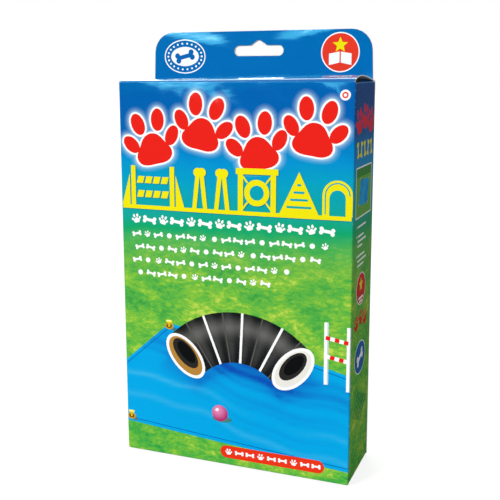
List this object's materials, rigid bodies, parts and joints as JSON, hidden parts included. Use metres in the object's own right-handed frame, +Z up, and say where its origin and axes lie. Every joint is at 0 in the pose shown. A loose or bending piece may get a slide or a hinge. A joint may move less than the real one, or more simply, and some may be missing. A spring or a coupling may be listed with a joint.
{
  "type": "dog agility pause mat in hang carton",
  "caption": "Folded dog training mat with ground pegs and a guide, in a printed hang-tab carton with tuck lids that open.",
  "frame": {"origin": "centre of the carton's base, on the surface it stands on", "axes": "+Z up along the carton, -Y out of the printed front, +Y out of the back that carries the header, +X to the right as seen from the front"},
  "size_m": [0.144, 0.0506, 0.2614],
  "materials": {
    "printed_board": "offset printed and gloss varnished folding boxboard",
    "raw_board": "uncoated grey-cream board",
    "mat_cloth": "woven coated polyester",
    "eyelet_brass": "pressed and polished",
    "peg_plastic": "moulded polypropylene",
    "guide_paper": "coated paper",
    "staple_steel": "galvanised wire"
  },
  "bodies": {
    "carton": {"front_panel": "printed_board", "back_panel": "printed_board", "left_side_panel": "printed_board", "right_side_panel": "printed_board", "glued_seam_flap": "raw_board", "header_front_ply": "printed_board", "folded_mat": "mat_cloth", "eyelet_front_outer": "eyelet_brass", "eyelet_front_inner": "eyelet_brass", "eyelet_back_outer": "eyelet_brass", "eyelet_back_inner": "eyelet_brass", "ground_peg_1": "peg_plastic", "ground_peg_2": "peg_plastic", "ground_peg_3": "peg_plastic", "ground_peg_4": "peg_plastic", "guide_cover": "guide_paper", "guide_pages": "guide_paper", "guide_staple_upper": "staple_steel", "guide_staple_lower": "staple_steel"},
    "top_lid": {"top_lid": "printed_board"},
    "top_tuck_flap": {"top_tuck_flap": "printed_board"},
    "top_dust_flap_left": {"top_dust_flap_left": "printed_board"},
    "top_dust_flap_right": {"top_dust_flap_right": "printed_board"},
    "bottom_lid": {"bottom_lid": "printed_board"},
    "bottom_tuck_flap": {"bottom_tuck_flap": "printed_board"},
    "bottom_dust_flap_left": {"bottom_dust_flap_left": "printed_board"},
    "bottom_dust_flap_right": {"bottom_dust_flap_right": "printed_board"}
  },
  "joints": [
    {"name": "top_lid_hinge", "type": "hinge", "parent": "carton", "child": "top_lid", "pos_m": [0, -0.0235, 0.232], "axis": [1, 0, 0], "range_deg": [0, 180]},
    {"name": "top_tuck_hinge", "type": "hinge", "parent": "top_lid", "child": "top_tuck_flap", "pos_m": [0, 0.0214, 0.232], "axis": [1, 0, 0], "range_deg": [0, 45]},
    {"name": "top_dust_left_hinge", "type": "hinge", "parent": "carton", "child": "top_dust_flap_left", "pos_m": [-0.072, 0, 0.2312], "axis": [0, -1, 0], "range_deg": [0, 99]},
    {"name": "top_dust_right_hinge", "type": "hinge", "parent": "carton", "child": "top_dust_flap_right", "pos_m": [0.072, 0, 0.2312], "axis": [0, 1, 0], "range_deg": [0, 99]},
    {"name": "bottom_lid_hinge", "type": "hinge", "parent": "carton", "child": "bottom_lid", "pos_m": [0, -0.0235, 0], "axis": [-1, 0, 0], "range_deg": [0, 180]},
    {"name": "bottom_tuck_hinge", "type": "hinge", "parent": "bottom_lid", "child": "bottom_tuck_flap", "pos_m": [0, 0.0222, 0], "axis": [-1, 0, 0], "range_deg": [0, 45]},
    {"name": "bottom_dust_left_hinge", "type": "hinge", "parent": "carton", "child": "bottom_dust_flap_left", "pos_m": [-0.072, 0, 0.0008], "axis": [0, 1, 0], "range_deg": [0, 99]},
    {"name": "bottom_dust_right_hinge", "type": "hinge", "parent": "carton", "child": "bottom_dust_flap_right", "pos_m": [0.072, 0, 0.0008], "axis": [0, -1, 0], "range_deg": [0, 99]}
  ],
  "couplings": [
    {"joint": "top_tuck_hinge", "follows": "top_lid_hinge", "ratio": 0.25},
    {"joint": "top_dust_left_hinge", "follows": "top_lid_hinge", "ratio": 0.55},
    {"joint": "top_dust_right_hinge", "follows": "top_lid_hinge", "ratio": 0.55},
    {"joint": "bottom_tuck_hinge", "follows": "bottom_lid_hinge", "ratio": 0.25},
    {"joint": "bottom_dust_left_hinge", "follows": "bottom_lid_hinge", "ratio": 0.55},
    {"joint": "bottom_dust_right_hinge", "follows": "bottom_lid_hinge", "ratio": 0.55}
  ]
}
